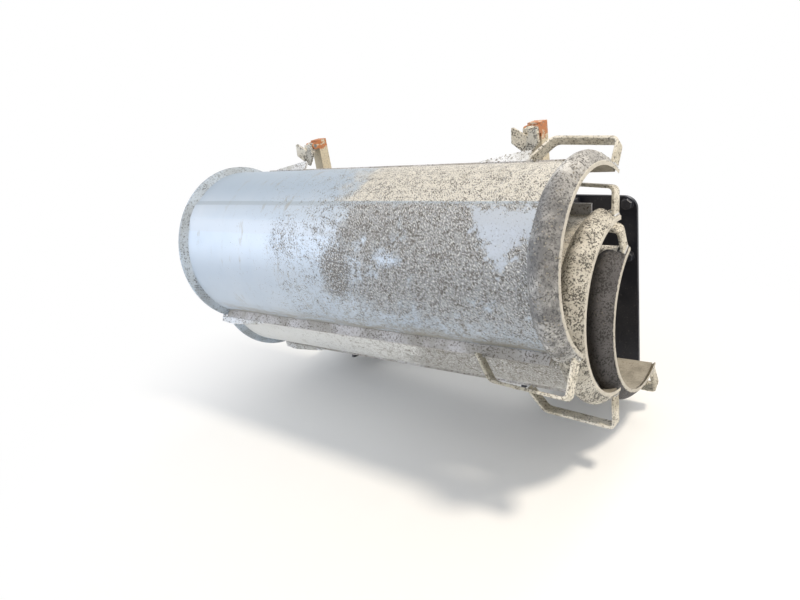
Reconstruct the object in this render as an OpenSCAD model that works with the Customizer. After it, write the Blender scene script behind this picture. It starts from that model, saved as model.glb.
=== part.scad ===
// Stowed set of three nested extension chutes on their side rack, off a concrete mixer truck.
// Frame: X forward along the truck, Y inward to its frame rail, Z up, millimetres.
// The origin is the middle of the hanger plates' bolts, on the rail's outer face.

/* [Chute] */
// Length of a chute, from its front lip to its rear lip
chute_len = 1219; // [1100:1:1300]
// Thickness of the rolled sheet
wall = 5; // [4:0.5:6]
// Outer radius of the front lip
lip_r = 210; // [204:1:214]
// Growth in radius from the front lip to the trough
front_step = 3; // [1:0.5:6]
// Growth in radius from the front of the trough to its back
taper = 19; // [14:1:24]
// Growth in radius over the rear collar
flare_rise = 18; // [14:1:20]
// Half the angle of the pressed swage along the belly
swage_half = 13; // [8:1:18]
// Half the angle of the swage's crown
crown_half = 6; // [4:1:8]
// Height that the swage is pressed out of the sheet
swage_rise = 3; // [1:0.5:4]

/* [Collars] */
// Length of the front collar
collar_len = 65; // [50:1:80]
// Height of the front collar's crown over the trough
crown_rise = 23.5; // [15:0.5:26]
// Length of the plain lip left where the crown is notched
lip_len = 16; // [12:1:20]
// Angle at each end over which the crown is notched away
notch_angle = 9; // [6:1:12]
// Inward step of the rolled bead on a lip
bead = 3; // [1:0.5:4]
// Width of the rolled bead on a lip
bead_w = 8; // [6:1:12]
// Length of the flared rear collar
flare_len = 25; // [20:1:40]

/* [Rims] */
// Width of the flange along each rim, beyond the trough
flange_w = 26; // [20:1:30]
// Thickness of the rim flanges
flange_t = 8; // [6:0.5:10]
// Gap between a flange's end and its collar
flange_gap = 1; // [0.5:0.5:2]
// Length of a ramp lug
lug_len = 138; // [100:1:160]
// Height of a ramp lug over its flange
lug_h = 28; // [20:1:32]
// Height of a ramp lug's low end
lug_toe = 3; // [2:0.5:6]
// Distance of the front lug's high end behind the front lip
lug_front_s = 222; // [215:1:260]
// Distance of the rear lug's high end behind the front lip
lug_rear_s = 1019; // [1000:1:1040]

/* [Handles] */
// Width of the handle strap
strap_w = 32; // [25:1:36]
// Thickness of the handle strap
strap_t = 7; // [5:0.5:8]
// Reach of the upper handle beyond the flange
top_reach = 58; // [45:1:62]
// Inward lean of the upper handle
top_lean = 20; // [10:1:22]
// Place of the upper handle's foot behind the front lip
top_foot_s = 214; // [200:1:216]
// Place of the upper handle's bend
top_bend_s = 168; // [150:1:190]
// Reach of the lower handle beyond the flange
low_reach = 86; // [60:1:90]
// Inward lean of the lower handle
low_lean = 12; // [5:1:16]
// Place of the lower handle's foot behind the front lip
low_foot_s = 262; // [240:1:270]
// Place of the lower handle's bend
low_bend_s = 228; // [200:1:235]

/* [Nest] */
// Place of the outer chute's axis at its front lip, forward
nest_x = 628; // [620:1:640]
// Place of the outer chute's axis at its front lip, outward of the rail
nest_y = 438; // [430:1:460]
// Place of the outer chute's axis at its front lip, up
nest_z = 72; // [60:1:80]
// Tilt of the outer chute's belly above level
nest_tilt = 38.5; // [34:0.5:42]
// Turn from each chute to the next one inside it
nest_turn = 30; // [26:0.5:32]
// Shift of each inner chute along the rim plane of the outer one
nest_shift = 53.5; // [45:0.5:60]
// Gap between one chute's rear collar and the next
nest_gap = 0.3; // [0.2:0.1:1]
// Outward swing of the chutes' rear end
nest_yaw = 1.4; // [0:0.1:2]
// Drop of the chutes' rear end
nest_drop = 1.7; // [0:0.1:2]

/* [Hangers] */
// Distance between the two hanger plates' middles
hanger_pitch = 850; // [820:1:870]
// Width of a hanger plate
plate_w = 250; // [230:1:270]
// Thickness of a hanger plate
plate_t = 10; // [8:1:14]
// Top edge of a hanger plate
plate_top = 95; // [90:1:110]
// Length of plate left below the foot of its cradle rib
plate_below = 6; // [0:1:20]
// Corner radius of a hanger plate
plate_corner = 35; // [15:1:45]
// Spacing of a plate's bolts along the rail
bolt_pitch_x = 200; // [180:1:210]
// Spacing of a plate's bolts up the rail
bolt_pitch_z = 150; // [130:1:160]
// Radius of a bolt hole
bolt_hole_r = 9.5; // [8.5:0.5:11]

/* [Cradles] */
// Distance of the front cradle behind its hanger's middle
cradle_front_back = 102; // [95:1:108]
// Distance of the rear cradle ahead of its hanger's middle
cradle_rear_ahead = 80; // [74:1:90]
// Thickness of a cradle rib
rib_t = 12; // [8:1:16]
// Width of a cradle pad along the chute
pad_w = 40; // [30:1:44]
// Thickness of a cradle pad
pad_t = 12; // [8:1:14]
// Clearance between a pad and the chute that lies in it
pad_gap = 0.3; // [0.2:0.1:0.6]
// Angle of the cradle's outer end, outward of straight down
cradle_out = 24; // [18:1:25]
// Angle of the cradle's inner end, inward of straight down
cradle_in = 8; // [4:1:10]
// Depth of a cradle rib's outer end under its pad
rib_tip = 28; // [20:1:34]
// Drop of a rib's shoulder below its inner pad end
rib_shoulder = 12; // [8:1:16]
// Depth of a cradle rib at its plate, below its shoulder
rib_root = 60; // [50:1:80]

/* [Catches] */
// Side of the square post
post_w = 36; // [30:1:40]
// Wall of the square tubes
tube_t = 4; // [3:0.5:5]
// Middle of a post behind its ramp lug's high end
post_back = 27; // [24:1:32]
// Level of the post arm's middle
arm_z = 70; // [55:1:75]
// Height of a post over its catch pin
post_over = 15; // [12:1:18]
// Reach of the pin inward of the ramp lug's corner
pin_in = 52; // [50:1:56]
// Rise of the pin over the ramp lug's corner
pin_up = 42; // [40:1:46]
// Radius of the catch pin
pin_r = 6; // [5:0.5:7]
// Running clearance of the catch on its pin
pin_clear = 0.05; // [0.02:0.01:0.1]
// Radius of the catch's hub
hub_r = 10; // [9:0.5:11]
// Thickness of a post's ears
ear_t = 6; // [5:0.5:8]
// Side clearance of the catch between the ears
ear_gap = 1; // [0.5:0.5:2]
// Distance from the post's face to the pin
ear_out = 16; // [14:1:18]
// Width of the catch plate
catch_w = 62; // [50:1:66]
// Height of the catch plate
catch_h = 60; // [50:1:62]
// Thickness of the catch plate
catch_t = 7; // [5:0.5:8]
// Depth of the notch in the catch plate's top
catch_notch = 26; // [15:1:30]

/* [Hidden] */
$fn = 120;
OUTER = 0;
MIDDLE = 1;
INNER = 2;
FRONT = 0;
REAR = 1;
weld = 0.2;          // gap of a piece that is welded to a curved or sloping one
swage_base = 4;      // how far the swage's outline runs into the sheet behind it
reach_over = 60;     // how far a cutting cone runs past the rib that it cuts

flare_s = chute_len - flare_len;
front_r = lip_r + front_step;
back_r = front_r + taper;
rear_lip_r = back_r + flare_rise;

// Outer radius of the trough, at a distance behind the front lip
function trough_r(s) = front_r + (back_r - front_r) * (s - collar_len) / (chute_len - flare_len - collar_len);
// Outer radius of the crowned front collar
function crown_r(s) = lip_r + (front_r - lip_r) * s / collar_len + crown_rise * sin(180 * s / collar_len);
// Outer edge of the rim flange
function edge_v(s) = trough_r(s) + flange_w;

// The next chute in lies against the bead of the rear collar outside it.
bead_in = rear_lip_r - wall - bead;
nest_in = sqrt(pow(rear_lip_r + nest_gap, 2) - pow(bead_in - nest_shift, 2));

function turn_x(a, p) = [p[0], p[1] * cos(a) - p[2] * sin(a), p[1] * sin(a) + p[2] * cos(a)];
function turn_y(a, p) = [p[0] * cos(a) + p[2] * sin(a), p[1], p[2] * cos(a) - p[0] * sin(a)];
function turn_z(a, p) = [p[0] * cos(a) - p[1] * sin(a), p[0] * sin(a) + p[1] * cos(a), p[2]];
// From one chute's own frame to that of the outer chute: x out of the belly, y up the rim plane, z rearward
function to_outer(k, p) = k < 1 ? p : to_outer(k - 1, [-nest_in, -nest_shift, 0] + turn_z(-nest_turn, p));
// From a chute's own frame to the truck's
function to_world(k, p) =
    let (q = to_outer(k, p), b = [-q[2], -q[0], q[1]])
    [nest_x, -nest_y, nest_z] + turn_z(nest_yaw, turn_y(-nest_drop, turn_x(-nest_tilt, b)));

hanger_x = [hanger_pitch / 2, -hanger_pitch / 2];
rib_x = [hanger_x[FRONT] - cradle_front_back, hanger_x[REAR] + cradle_rear_ahead];
lug_s = [lug_front_s, lug_rear_s];
// Each catch is laid out from the corner of the outer chute's ramp lug.
lug_corner = [for (s = lug_s) to_world(OUTER, [0, edge_v(s) + lug_h, s])];
pin_at = [for (c = lug_corner) [c[0] - post_back, c[1] + pin_in, c[2] + pin_up]];
post_y = [for (p = pin_at) p[1] + ear_out + post_w / 2];
// Distance of a cradle behind the inner chute's front lip, and the chute's axis there
cradle_s = [for (x = rib_x) to_world(INNER, [0, 0, 0])[0] - x];
cradle_c = [for (s = cradle_s) to_world(INNER, [0, 0, s])];
inner_tilt = 2 * nest_turn - nest_tilt;

function reversed(list) = [for (i = [len(list) - 1:-1:0]) list[i]];

// Places its children in the frame of one chute.
module in_chute(k) {
    translate([nest_x, -nest_y, nest_z])
        rotate([0, 0, nest_yaw]) rotate([0, -nest_drop, 0]) rotate([-nest_tilt, 0, 0])
            rotate([90, 0, -90]) nested(k) children();
}
module nested(k) {
    if (k < 1) children();
    else nested(k - 1) translate([-nest_in, -nest_shift, 0]) rotate([0, 0, -nest_turn]) children();
}
// A ring sector about the chute's axis, from a profile of [radius, distance]
module ring(profile, from, to) {
    rotate([0, 0, from]) rotate_extrude(angle = to - from, $fn = 180) polygon(profile);
}
// A plate in the rim plane, from points [height, distance], with its thickness out of the belly
module slab(points, start, thick) {
    translate([start, 0, 0]) rotate([90, 0, 90]) linear_extrude(thick) polygon(points);
}
// Turns what is drawn on the upper rim into both rims.
module both_rims() {
    children();
    mirror([0, 1, 0]) children();
}

// The swage seen along the chute, from a radius inside the sheet out to its crown
module swage_shape(r, rise) {
    polygon(concat(
        [for (a = [-1:0.5:1]) [(r + rise) * cos(a * crown_half), (r + rise) * sin(a * crown_half)]],
        [[r * cos(swage_half), r * sin(swage_half)], [(r - swage_base) * cos(swage_half), (r - swage_base) * sin(swage_half)],
         [(r - swage_base) * cos(swage_half), -(r - swage_base) * sin(swage_half)], [r * cos(swage_half), -r * sin(swage_half)]]
    ));
}
module half_disc(r) {
    intersection() {
        circle(r, $fn = 180);
        translate([0, -r - 1]) square([r + 1, 2 * r + 2]);
    }
}
// The sheet seen along the chute, with the swage pressed out of it
module sheet_shape(r) {
    difference() {
        union() {
            half_disc(r);
            swage_shape(r, swage_rise);
        }
        circle(r - wall, $fn = 180);
        swage_shape(r - wall, swage_rise);
    }
}
module trough(k) {
    color("gainsboro") in_chute(k) translate([0, 0, collar_len])
        linear_extrude(flare_s - collar_len, scale = back_r / front_r) sheet_shape(front_r);
}

// Distances along the front collar: the rolled bead, the plain lip, then the crown
lip_s = [0, bead_w / 2, bead_w];
crown_steps = 10;
crown_s = [for (i = [0:crown_steps]) lip_len + (collar_len - lip_len) * i / crown_steps];
notch_out = 20;      // how far a cutter runs past the sheet that it cuts
notch_s = lip_len + 1.5;
module front_collar(k) {
    color("tan") in_chute(k) difference() {
        ring(concat(
            [for (s = concat(lip_s, crown_s)) [crown_r(s), s]],
            [for (s = reversed(crown_s)) [crown_r(s) - wall, s]],
            [[crown_r(bead_w) - wall - bead, bead_w], [lip_r - wall - bead, 0]]
        ), -90, 90);
        for (middle = [-90, 90]) ring([
            [lip_r - notch_out, notch_s], [front_r + crown_rise + notch_out, notch_s],
            [front_r + crown_rise + notch_out, collar_len + 1], [lip_r - notch_out, collar_len + 1],
        ], middle - notch_angle, middle + notch_angle);
    }
}

module rear_collar(k) {
    color("silver") in_chute(k) ring([
        [back_r - wall, flare_s], [back_r, flare_s],
        [rear_lip_r, chute_len - bead_w], [rear_lip_r, chute_len],
        [bead_in, chute_len], [bead_in, chute_len - bead_w],
    ], -90, 90);
}

module rim_flanges(k) {
    start = collar_len + flange_gap;
    end = chute_len - flare_len - flange_gap;
    color("lightgray") in_chute(k) both_rims() slab([
        [trough_r(start), start], [edge_v(start), start],
        [edge_v(end), end], [trough_r(end), end],
    ], 0, flange_t);
}

// A ramp lug rises towards the front and ends square.
module ramp_lug(s) {
    slab([
        [edge_v(s), s], [edge_v(s) + lug_h, s], [edge_v(s) + lug_h, s + lug_h / 2],
        [edge_v(s + lug_len) + lug_toe, s + lug_len], [edge_v(s + lug_len), s + lug_len],
    ], 0, flange_t);
}
module ramp_lugs(k) {
    color("tan") in_chute(k) {
        ramp_lug(lug_front_s);
        both_rims() ramp_lug(lug_rear_s);
    }
}

// Corners of a bent strap's outline, from its middle line, with half the thickness on each side
function unit(p) = p / norm(p);
function side(a, b) = let (d = unit(b - a)) [-d[1], d[0]];
function corner(a, b, c) = let (m = side(a, b), n = side(b, c)) (m + n) / (1 + m * n);
function strap_side(path, half) = [for (i = [0:len(path) - 1])
    path[i] + half * (i == 0 ? side(path[0], path[1])
        : i == len(path) - 1 ? side(path[i - 1], path[i])
        : corner(path[i - 1], path[i], path[i + 1]))];
function strap_outline(path) = concat(strap_side(path, strap_t / 2), reversed(strap_side(path, -strap_t / 2)));
// A corner of the middle line becomes two, so that the bend is eased.
function eased(a, b, c, cut) = [b + cut * unit(a - b), b + cut * unit(c - b)];

bend_cut = 10;
root_sink = 6;       // how far a strap runs into what it is then cut to
handle_root = crown_r(lip_len);
post_s = lip_len - strap_t / 2;
// The slope of the lip, with a gap for its weld, that a handle's post stands on
lip_slope = (crown_r(lip_len) - crown_r(bead_w)) / (lip_len - bead_w);
lip_weld = 0.6;      // the lip bulges a little over its slope
module lip_cut() {
    low = -5;
    high = lip_len + 14;
    translate([0, 0, low]) cylinder(
        h = high - low, $fn = 180,
        r1 = crown_r(lip_len) + lip_weld + lip_slope * (low - lip_len),
        r2 = crown_r(lip_len) + lip_weld + lip_slope * (high - lip_len)
    );
}
// The rim flange's edge, with a gap for its weld, that a handle's foot stands on
module flange_cut() {
    slab([
        [0, collar_len], [edge_v(collar_len) + weld, collar_len],
        [edge_v(flare_s) + weld, flare_s], [0, flare_s],
    ], -2 * strap_w, 4 * strap_w);
}
module handle(foot_s, bend_s, reach, lean) {
    foot = (edge_v(foot_s) - handle_root - root_sink) * cos(lean);
    top = (edge_v(post_s) + reach - handle_root) * cos(lean);
    a = [foot, foot_s];
    b = [top, bend_s];
    c = [top, post_s];
    d = [-root_sink, post_s];
    path = concat([a], eased(a, b, c, bend_cut), eased(b, c, d, bend_cut), [d]);
    difference() {
        translate([strap_w / 2, handle_root, 0]) rotate([0, 0, lean])
            slab(strap_outline(path), -strap_w / 2, strap_w);
        lip_cut();
        flange_cut();
    }
}
module upper_handle(k) {
    color("burlywood") in_chute(k) handle(top_foot_s, top_bend_s, top_reach, top_lean);
}
module lower_handle(k) {
    color("burlywood") in_chute(k) mirror([0, 1, 0]) handle(low_foot_s, low_bend_s, low_reach, low_lean);
}

// Lowest edge of a cradle rib at its plate
function shoulder_z(i) = cradle_point(i, -cradle_in, seat_r(i))[1] - rib_shoulder;
function foot_z(i) = shoulder_z(i) - rib_root;
module hanger_plate(i) {
    plate_bottom = foot_z(i) - plate_below;
    color("midnightblue") translate([hanger_x[i], 0, 0]) difference() {
        rotate([90, 0, 0]) linear_extrude(plate_t) union() {
            translate([-plate_w / 2, plate_bottom]) square([plate_w, plate_top - plate_corner - plate_bottom]);
            translate([-plate_w / 2 + plate_corner, plate_bottom])
                square([plate_w - 2 * plate_corner, plate_top - plate_bottom]);
            for (side = [-1, 1])
                translate([side * (plate_w / 2 - plate_corner), plate_top - plate_corner])
                    circle(plate_corner);
        }
        for (x = [-1, 1], z = [-1, 1])
            translate([x * bolt_pitch_x / 2, 1, z * bolt_pitch_z / 2])
                rotate([90, 0, 0]) cylinder(h = plate_t + 2, r = bolt_hole_r);
    }
}

// A point of a cradle, at an angle outward of straight down and a radius from the inner chute's axis
function cradle_point(i, angle, r) = [cradle_c[i][1] - r * sin(angle), cradle_c[i][2] - r * cos(angle)];
function seat_r(i) = trough_r(cradle_s[i]) + pad_gap + pad_t;
// The cone under the pad, which the rib is cut to
module pad_cone(i) {
    low = cradle_s[i] - reach_over;
    high = cradle_s[i] + reach_over;
    in_chute(INNER) translate([0, 0, low])
        cylinder(h = high - low, r1 = trough_r(low) + pad_gap + pad_t, r2 = trough_r(high) + pad_gap + pad_t, $fn = 180);
}
module cradle_rib(i) {
    inner_end = cradle_point(i, -cradle_in, seat_r(i));
    outer_end = cradle_point(i, cradle_out, seat_r(i));
    tip = cradle_point(i, cradle_out, seat_r(i) + rib_tip);
    color("midnightblue") difference() {
        translate([rib_x[i] - rib_t / 2, 0, 0]) rotate([90, 0, 90]) linear_extrude(rib_t) polygon([
            [-plate_t, foot_z(i)], tip, outer_end, inner_end,
            [inner_end[0] + rib_shoulder, shoulder_z(i)], [-plate_t, shoulder_z(i)],
        ]);
        pad_cone(i);
    }
}
module cradle_pad(i) {
    low = cradle_s[i] - pad_w / 2;
    high = cradle_s[i] + pad_w / 2;
    down = inner_tilt - 90;
    color("dimgray") in_chute(INNER) ring([
        [trough_r(low) + pad_gap, low], [trough_r(low) + pad_gap + pad_t, low],
        [trough_r(high) + pad_gap + pad_t, high], [trough_r(high) + pad_gap, high],
    ], down - cradle_in, down + cradle_out);
}

// A square tube with closed walls, standing on z = 0
module tube(length) {
    difference() {
        translate([-post_w / 2, -post_w / 2, 0]) cube([post_w, post_w, length]);
        translate([-post_w / 2 + tube_t, -post_w / 2 + tube_t, tube_t])
            cube([post_w - 2 * tube_t, post_w - 2 * tube_t, length - 2 * tube_t]);
    }
}
module post_arm(i) {
    color("midnightblue") translate([pin_at[i][0], -plate_t, arm_z])
        rotate([90, 0, 0]) tube(-plate_t - (post_y[i] + post_w / 2));
}
hub_w = post_w - 2 * ear_t - 2 * ear_gap;
module post(i) {
    foot_z = arm_z - post_w / 2;
    face_y = pin_at[i][1] + ear_out;
    color("darkgoldenrod") translate([pin_at[i][0], 0, 0]) {
        translate([0, post_y[i], foot_z]) tube(pin_at[i][2] + post_over - foot_z);
        for (x = [-post_w / 2, post_w / 2 - ear_t]) difference() {
            union() {
                translate([x, pin_at[i][1], pin_at[i][2] - hub_r]) cube([ear_t, ear_out, 2 * hub_r]);
                translate([x, pin_at[i][1], pin_at[i][2]]) rotate([0, 90, 0]) cylinder(h = ear_t, r = hub_r);
            }
            translate([x - 1, pin_at[i][1], pin_at[i][2]]) rotate([0, 90, 0])
                cylinder(h = ear_t + 2, r = pin_r + pin_clear);
        }
    }
}
module catch_pin(i) {
    color("gray") translate(pin_at[i]) rotate([0, 90, 0])
        cylinder(h = post_w, r = pin_r, center = true);
}
// The catch arm runs out from its hub and ends in a vee that the folded catch plate seats on.
arm_len = 18;
arm_top = 7;
arm_bottom = -20;
catch_fold = 20;     // bend of each wing of the catch plate, outward
arm_tip = arm_len + hub_w / 2 * tan(catch_fold);
module catch_arm(i) {
    color("darkkhaki") translate(pin_at[i]) difference() {
        union() {
            rotate([0, 90, 0]) cylinder(h = hub_w, r = hub_r, center = true);
            translate([0, 0, arm_bottom]) linear_extrude(arm_top - arm_bottom) polygon([
                [-hub_w / 2, 0], [-hub_w / 2, -arm_tip], [0, -arm_len],
                [hub_w / 2, -arm_tip], [hub_w / 2, 0],
            ]);
        }
        rotate([0, 90, 0]) cylinder(h = hub_w + 2, r = pin_r + pin_clear, center = true);
    }
}
plate_up = 10;       // the catch plate's top over the pin
module catch_wing() {
    rotate([0, 0, -catch_fold]) rotate([90, 0, 0]) linear_extrude(catch_t) polygon([
        [0, plate_up - catch_notch], [0, plate_up - catch_h],
        [catch_w * 0.5, plate_up - catch_h * 0.55], [catch_w * 0.46, plate_up], [catch_w * 0.3, plate_up],
    ]);
}
module catch_plate(i) {
    color("darkkhaki") translate(pin_at[i]) translate([0, -arm_len, 0]) {
        catch_wing();
        mirror([1, 0, 0]) catch_wing();
    }
}

trough(OUTER);  // outer_trough
front_collar(OUTER);  // outer_front_collar
rear_collar(OUTER);  // outer_rear_collar
rim_flanges(OUTER);  // outer_rim_flanges
ramp_lugs(OUTER);  // outer_ramp_lugs
upper_handle(OUTER);  // outer_upper_handle
lower_handle(OUTER);  // outer_lower_handle
trough(MIDDLE);  // middle_trough
front_collar(MIDDLE);  // middle_front_collar
rear_collar(MIDDLE);  // middle_rear_collar
rim_flanges(MIDDLE);  // middle_rim_flanges
ramp_lugs(MIDDLE);  // middle_ramp_lugs
upper_handle(MIDDLE);  // middle_upper_handle
lower_handle(MIDDLE);  // middle_lower_handle
trough(INNER);  // inner_trough
front_collar(INNER);  // inner_front_collar
rear_collar(INNER);  // inner_rear_collar
rim_flanges(INNER);  // inner_rim_flanges
ramp_lugs(INNER);  // inner_ramp_lugs
upper_handle(INNER);  // inner_upper_handle
lower_handle(INNER);  // inner_lower_handle
hanger_plate(FRONT);  // hanger_plate_front
cradle_rib(FRONT);  // cradle_rib_front
cradle_pad(FRONT);  // cradle_pad_front
post_arm(FRONT);  // post_arm_front
post(FRONT);  // post_front
catch_pin(FRONT);  // catch_pin_front
catch_arm(FRONT);  // catch_arm_front
catch_plate(FRONT);  // catch_plate_front
hanger_plate(REAR);  // hanger_plate_rear
cradle_rib(REAR);  // cradle_rib_rear
cradle_pad(REAR);  // cradle_pad_rear
post_arm(REAR);  // post_arm_rear
post(REAR);  // post_rear
catch_pin(REAR);  // catch_pin_rear
catch_arm(REAR);  // catch_arm_rear
catch_plate(REAR);  // catch_plate_rear
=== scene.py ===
# %% [markdown]
# ## The part and its frame
# Three half-round chutes that lengthen a run for wet concrete lie nested in their side rack. The
# part's solids come in metres: X points forward, Y inward to the mount, Z up.
# Finishes and added pieces need to know where each chute lies. That could be read off the solids'
# corners, but a chute is a tapered half pipe, leant over and turned, so its place is worked out
# here from the same few driving sizes as in the part's source.

# %% The part's solids
import bpy
import bmesh
import math
import random
from mathutils import Matrix, Vector
from mathutils import noise as waves


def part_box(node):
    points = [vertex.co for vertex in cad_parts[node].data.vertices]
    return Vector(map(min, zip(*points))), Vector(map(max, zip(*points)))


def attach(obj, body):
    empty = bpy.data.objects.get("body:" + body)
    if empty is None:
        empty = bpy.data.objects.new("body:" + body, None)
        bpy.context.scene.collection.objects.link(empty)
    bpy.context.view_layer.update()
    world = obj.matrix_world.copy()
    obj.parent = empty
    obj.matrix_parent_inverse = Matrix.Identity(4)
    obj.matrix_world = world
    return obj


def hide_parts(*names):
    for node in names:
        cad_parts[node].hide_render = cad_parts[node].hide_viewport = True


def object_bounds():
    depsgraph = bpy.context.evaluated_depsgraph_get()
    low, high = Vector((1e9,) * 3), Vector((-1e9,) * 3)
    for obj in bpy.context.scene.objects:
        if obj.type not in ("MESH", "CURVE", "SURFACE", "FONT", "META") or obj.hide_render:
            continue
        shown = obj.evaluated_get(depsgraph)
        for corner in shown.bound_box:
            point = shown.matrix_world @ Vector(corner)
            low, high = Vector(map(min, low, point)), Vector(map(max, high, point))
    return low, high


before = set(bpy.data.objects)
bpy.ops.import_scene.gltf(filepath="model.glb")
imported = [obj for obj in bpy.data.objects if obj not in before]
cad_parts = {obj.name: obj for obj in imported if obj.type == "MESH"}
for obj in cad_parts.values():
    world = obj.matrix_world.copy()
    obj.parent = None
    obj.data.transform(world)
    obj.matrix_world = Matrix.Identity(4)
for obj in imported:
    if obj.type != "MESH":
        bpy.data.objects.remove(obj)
cad_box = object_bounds()
print("solids:", len(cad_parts), "in a box from", cad_box[0], "to", cad_box[1])

# %% Driving sizes of the chutes, in metres and degrees
LIP = Vector((0.628, -0.438, 0.072))      # the outer chute's axis at its front lip
TILT, YAW, DROP = 38.5, 1.4, 1.7          # of the outer chute, about the X, Z and Y axes
TURN, SHIFT = 30.0, 0.0535                # of each chute within the one outside it
LENGTH, COLLAR, FLARE = 1.219, 0.065, 0.025
LIP_R, TROUGH_R, BACK_R, REAR_R = 0.210, 0.213, 0.232, 0.250
CROWN_RISE = 0.0235                       # of the front collar over the sheet
WALL, BEAD, NEST_GAP = 0.005, 0.003, 0.0003
FLANGE_W, FLANGE_T = 0.026, 0.008
NEST_IN = math.sqrt((REAR_R + NEST_GAP) ** 2 - (REAR_R - WALL - BEAD - SHIFT) ** 2)
CHUTES = ["outer", "middle", "inner"]
ENDS = ["front", "rear"]
print("each chute lies", round(NEST_IN, 4), "m further in")


# %% Where each chute lies
def rotation(axis, degrees):
    return Matrix.Rotation(math.radians(degrees), 4, axis)


def chute_matrix(k):
    """From a chute's own frame (x out of its belly, y up its rim plane, z rearward) to the part's."""
    own = Matrix(((0, 0, -1, 0), (-1, 0, 0, 0), (0, 1, 0, 0), (0, 0, 0, 1)))
    lean = rotation("Z", YAW) @ rotation("Y", -DROP) @ rotation("X", -TILT)
    m = Matrix.Translation(LIP) @ lean @ own
    for _ in range(k):
        m = m @ Matrix.Translation((-NEST_IN, -SHIFT, 0)) @ rotation("Z", -TURN)
    return m


def trough_r(s):
    """The sheet's outer radius at a distance s behind the front lip."""
    return TROUGH_R + (BACK_R - TROUGH_R) * (s - COLLAR) / (LENGTH - FLARE - COLLAR)


def crown_r(s):
    """The front collar's outer radius, which swells to a crown between lip and sheet."""
    return LIP_R + (TROUGH_R - LIP_R) * s / COLLAR + CROWN_RISE * math.sin(math.pi * s / COLLAR)


PLACE = [chute_matrix(k) for k in range(len(CHUTES))]
print("front lips at", [tuple(round(v, 3) for v in m.translation) for m in PLACE])

# %% [markdown]
# ## Camera
# The chutes were photographed from a little ahead, beside and above. A camera can be placed by
# eye, but then every edge is a little off. This one was found by laying the chutes' straight
# edges and half-round lips over the picture, so sizes can be compared at any place in it.

# %% Camera
LENS, SENSOR, FAR_CLIP = 27.6, 36, 50
CAMERA_AT = (1.1296, -1.625, 0.5525)
CAMERA_AXES = ((0.7669, 0.6226, -0.1550), (-0.1275, 0.3845, 0.9142), (0.6289, -0.6815, 0.3743))
camera = bpy.data.objects.new("camera", bpy.data.cameras.new("camera"))
bpy.context.collection.objects.link(camera)
camera.data.sensor_width, camera.data.lens, camera.data.clip_end = SENSOR, LENS, FAR_CLIP
facing = Matrix(CAMERA_AXES).transposed().to_quaternion().to_matrix().to_4x4()
camera.matrix_world = Matrix.Translation(CAMERA_AT) @ facing
bpy.context.scene.camera = camera
print("camera at", tuple(round(v, 3) for v in camera.matrix_world.translation))


# %% Colours and nodes
def srgb(code):
    """A colour written as in a paint chart, such as '8f8a80', as linear light."""
    v = [int(code[i:i + 2], 16) / 255 for i in (0, 2, 4)]
    return tuple(c / 12.92 if c <= 0.04045 else ((c + 0.055) / 1.055) ** 2.4 for c in v) + (1.0,)


def add(tree, kind, inputs=None, **settings):
    """Adds a node. Each named or numbered input gets a value, a colour's code or another node's socket."""
    n = tree.nodes.new(kind)
    for key, value in settings.items():
        setattr(n, key, value)
    for key, value in (inputs or {}).items():
        if isinstance(value, bpy.types.NodeSocket):
            tree.links.new(value, n.inputs[key])
        else:
            n.inputs[key].default_value = srgb(value) if isinstance(value, str) else value
    return n


def material(name):
    m = bpy.data.materials.new(name)
    m.use_nodes = True
    return m, m.node_tree, m.node_tree.nodes["Principled BSDF"]


# %% [markdown]
# ## Floor, background and light
# Dirty aluminium shows its bends by what it reflects, so the surroundings matter. A white sky
# strong enough to look white would wash the metal out. The world is therefore white only for the
# camera and in reflections and lights the object with half of that, and the floor, which takes
# the shadow, turns into the same white further out. One small warm lamp high in front stands for
# the sun, and two large ones fill in from the sides.

# %% World
DAYLIGHT = 0.54           # strength of the white world on the object


def backdrop_factor(tree):
    """1 for the camera, in reflections and through glass, and otherwise 0."""
    path = add(tree, "ShaderNodeLightPath")
    seen = add(tree, "ShaderNodeMath", {0: path.outputs["Is Camera Ray"], 1: path.outputs["Is Glossy Ray"]},
               operation="ADD")
    return add(tree, "ShaderNodeMath", {0: seen.outputs[0], 1: path.outputs["Is Transmission Ray"]},
               operation="ADD", use_clamp=True).outputs[0]


world = bpy.data.worlds.new("studio")
bpy.context.scene.world = world
world.use_nodes = True
sky = world.node_tree
strength = add(sky, "ShaderNodeMapRange", {"Value": backdrop_factor(sky), "To Min": DAYLIGHT, "To Max": 1.0})
sky.nodes["Background"].inputs["Color"].default_value = (1, 1, 1, 1)
sky.links.new(strength.outputs[0], sky.nodes["Background"].inputs["Strength"])
print("daylight on the object:", DAYLIGHT)

# %% Floor
FLOOR_CENTRE = (0.0, -0.3, 0.0)
SHADOW_TO, WHITE_FROM = 0.35, 1.5         # metres from that centre
FLOOR_HALF, FLOOR_BELOW = 30, 0.02
floor_mat, ft, floor_shader = material("studio floor, matte off-white")
for socket, value in (("Base Color", srgb("f4f4f2")), ("Roughness", 0.9), ("Specular IOR Level", 0.1)):
    floor_shader.inputs[socket].default_value = value
spot = add(ft, "ShaderNodeTexCoord").outputs["Object"]
away = add(ft, "ShaderNodeVectorMath", {0: spot, 1: FLOOR_CENTRE}, operation="DISTANCE").outputs["Value"]
far = add(ft, "ShaderNodeMapRange", {"Value": away, "From Min": SHADOW_TO, "From Max": WHITE_FROM},
          interpolation_type="SMOOTHERSTEP").outputs[0]
far = add(ft, "ShaderNodeMath", {0: far, 1: backdrop_factor(ft)}, operation="MULTIPLY").outputs[0]
white = add(ft, "ShaderNodeEmission", {"Color": (1, 1, 1, 1), "Strength": 1.0})
blend = add(ft, "ShaderNodeMixShader", {0: far, 1: floor_shader.outputs[0], 2: white.outputs[0]})
ft.links.new(blend.outputs[0], ft.nodes["Material Output"].inputs["Surface"])


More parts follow.
